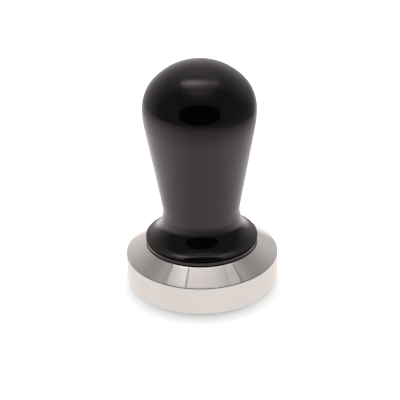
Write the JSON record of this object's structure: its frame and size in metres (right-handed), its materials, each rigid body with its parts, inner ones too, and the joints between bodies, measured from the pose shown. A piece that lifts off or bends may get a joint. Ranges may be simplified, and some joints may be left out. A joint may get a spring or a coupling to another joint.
{
  "type": "espresso tamper",
  "caption": "Espresso tamper: flat bevelled steel base with a turned gloss handle that unscrews from a threaded stud.",
  "frame": {"origin": "centre of the flat tamping face under the base, on the turning axis", "axes": "+Z along the turning axis, from the base up the handle to its crown; the part is a body of revolution, so +X and +Y are any two level directions"},
  "size_m": [0.058, 0.058, 0.0881],
  "materials": {
    "steel_base": "fine-turned and polished stainless steel",
    "rubber": "matt black rubber",
    "zinc_steel": "zinc-plated steel",
    "gloss_collar": "high-gloss black",
    "brass": "machined brass",
    "gloss_handle": "high-gloss black"
  },
  "bodies": {
    "base_assembly": {"base": "steel_base", "base_gasket": "rubber", "threaded_stud": "zinc_steel"},
    "collar": {"collar_ring": "gloss_collar", "o_ring": "rubber"},
    "handle": {"handle_grip": "gloss_handle", "threaded_insert": "brass"}
  },
  "joints": [
    {"name": "collar_lift", "type": "slide", "parent": "base_assembly", "child": "collar", "axis": [0, 0, 1], "range_m": [0, 0.0119]},
    {"name": "handle_unscrew", "type": "hinge", "parent": "collar", "child": "handle", "pos_m": [0, 0, 0.01725], "axis": [0, 0, 1], "range_deg": [0, 3420]}
  ],
  "couplings": [
    {"joint": "collar_lift", "follows": "handle_unscrew", "m_per_rad": 0.00019894}
  ]
}
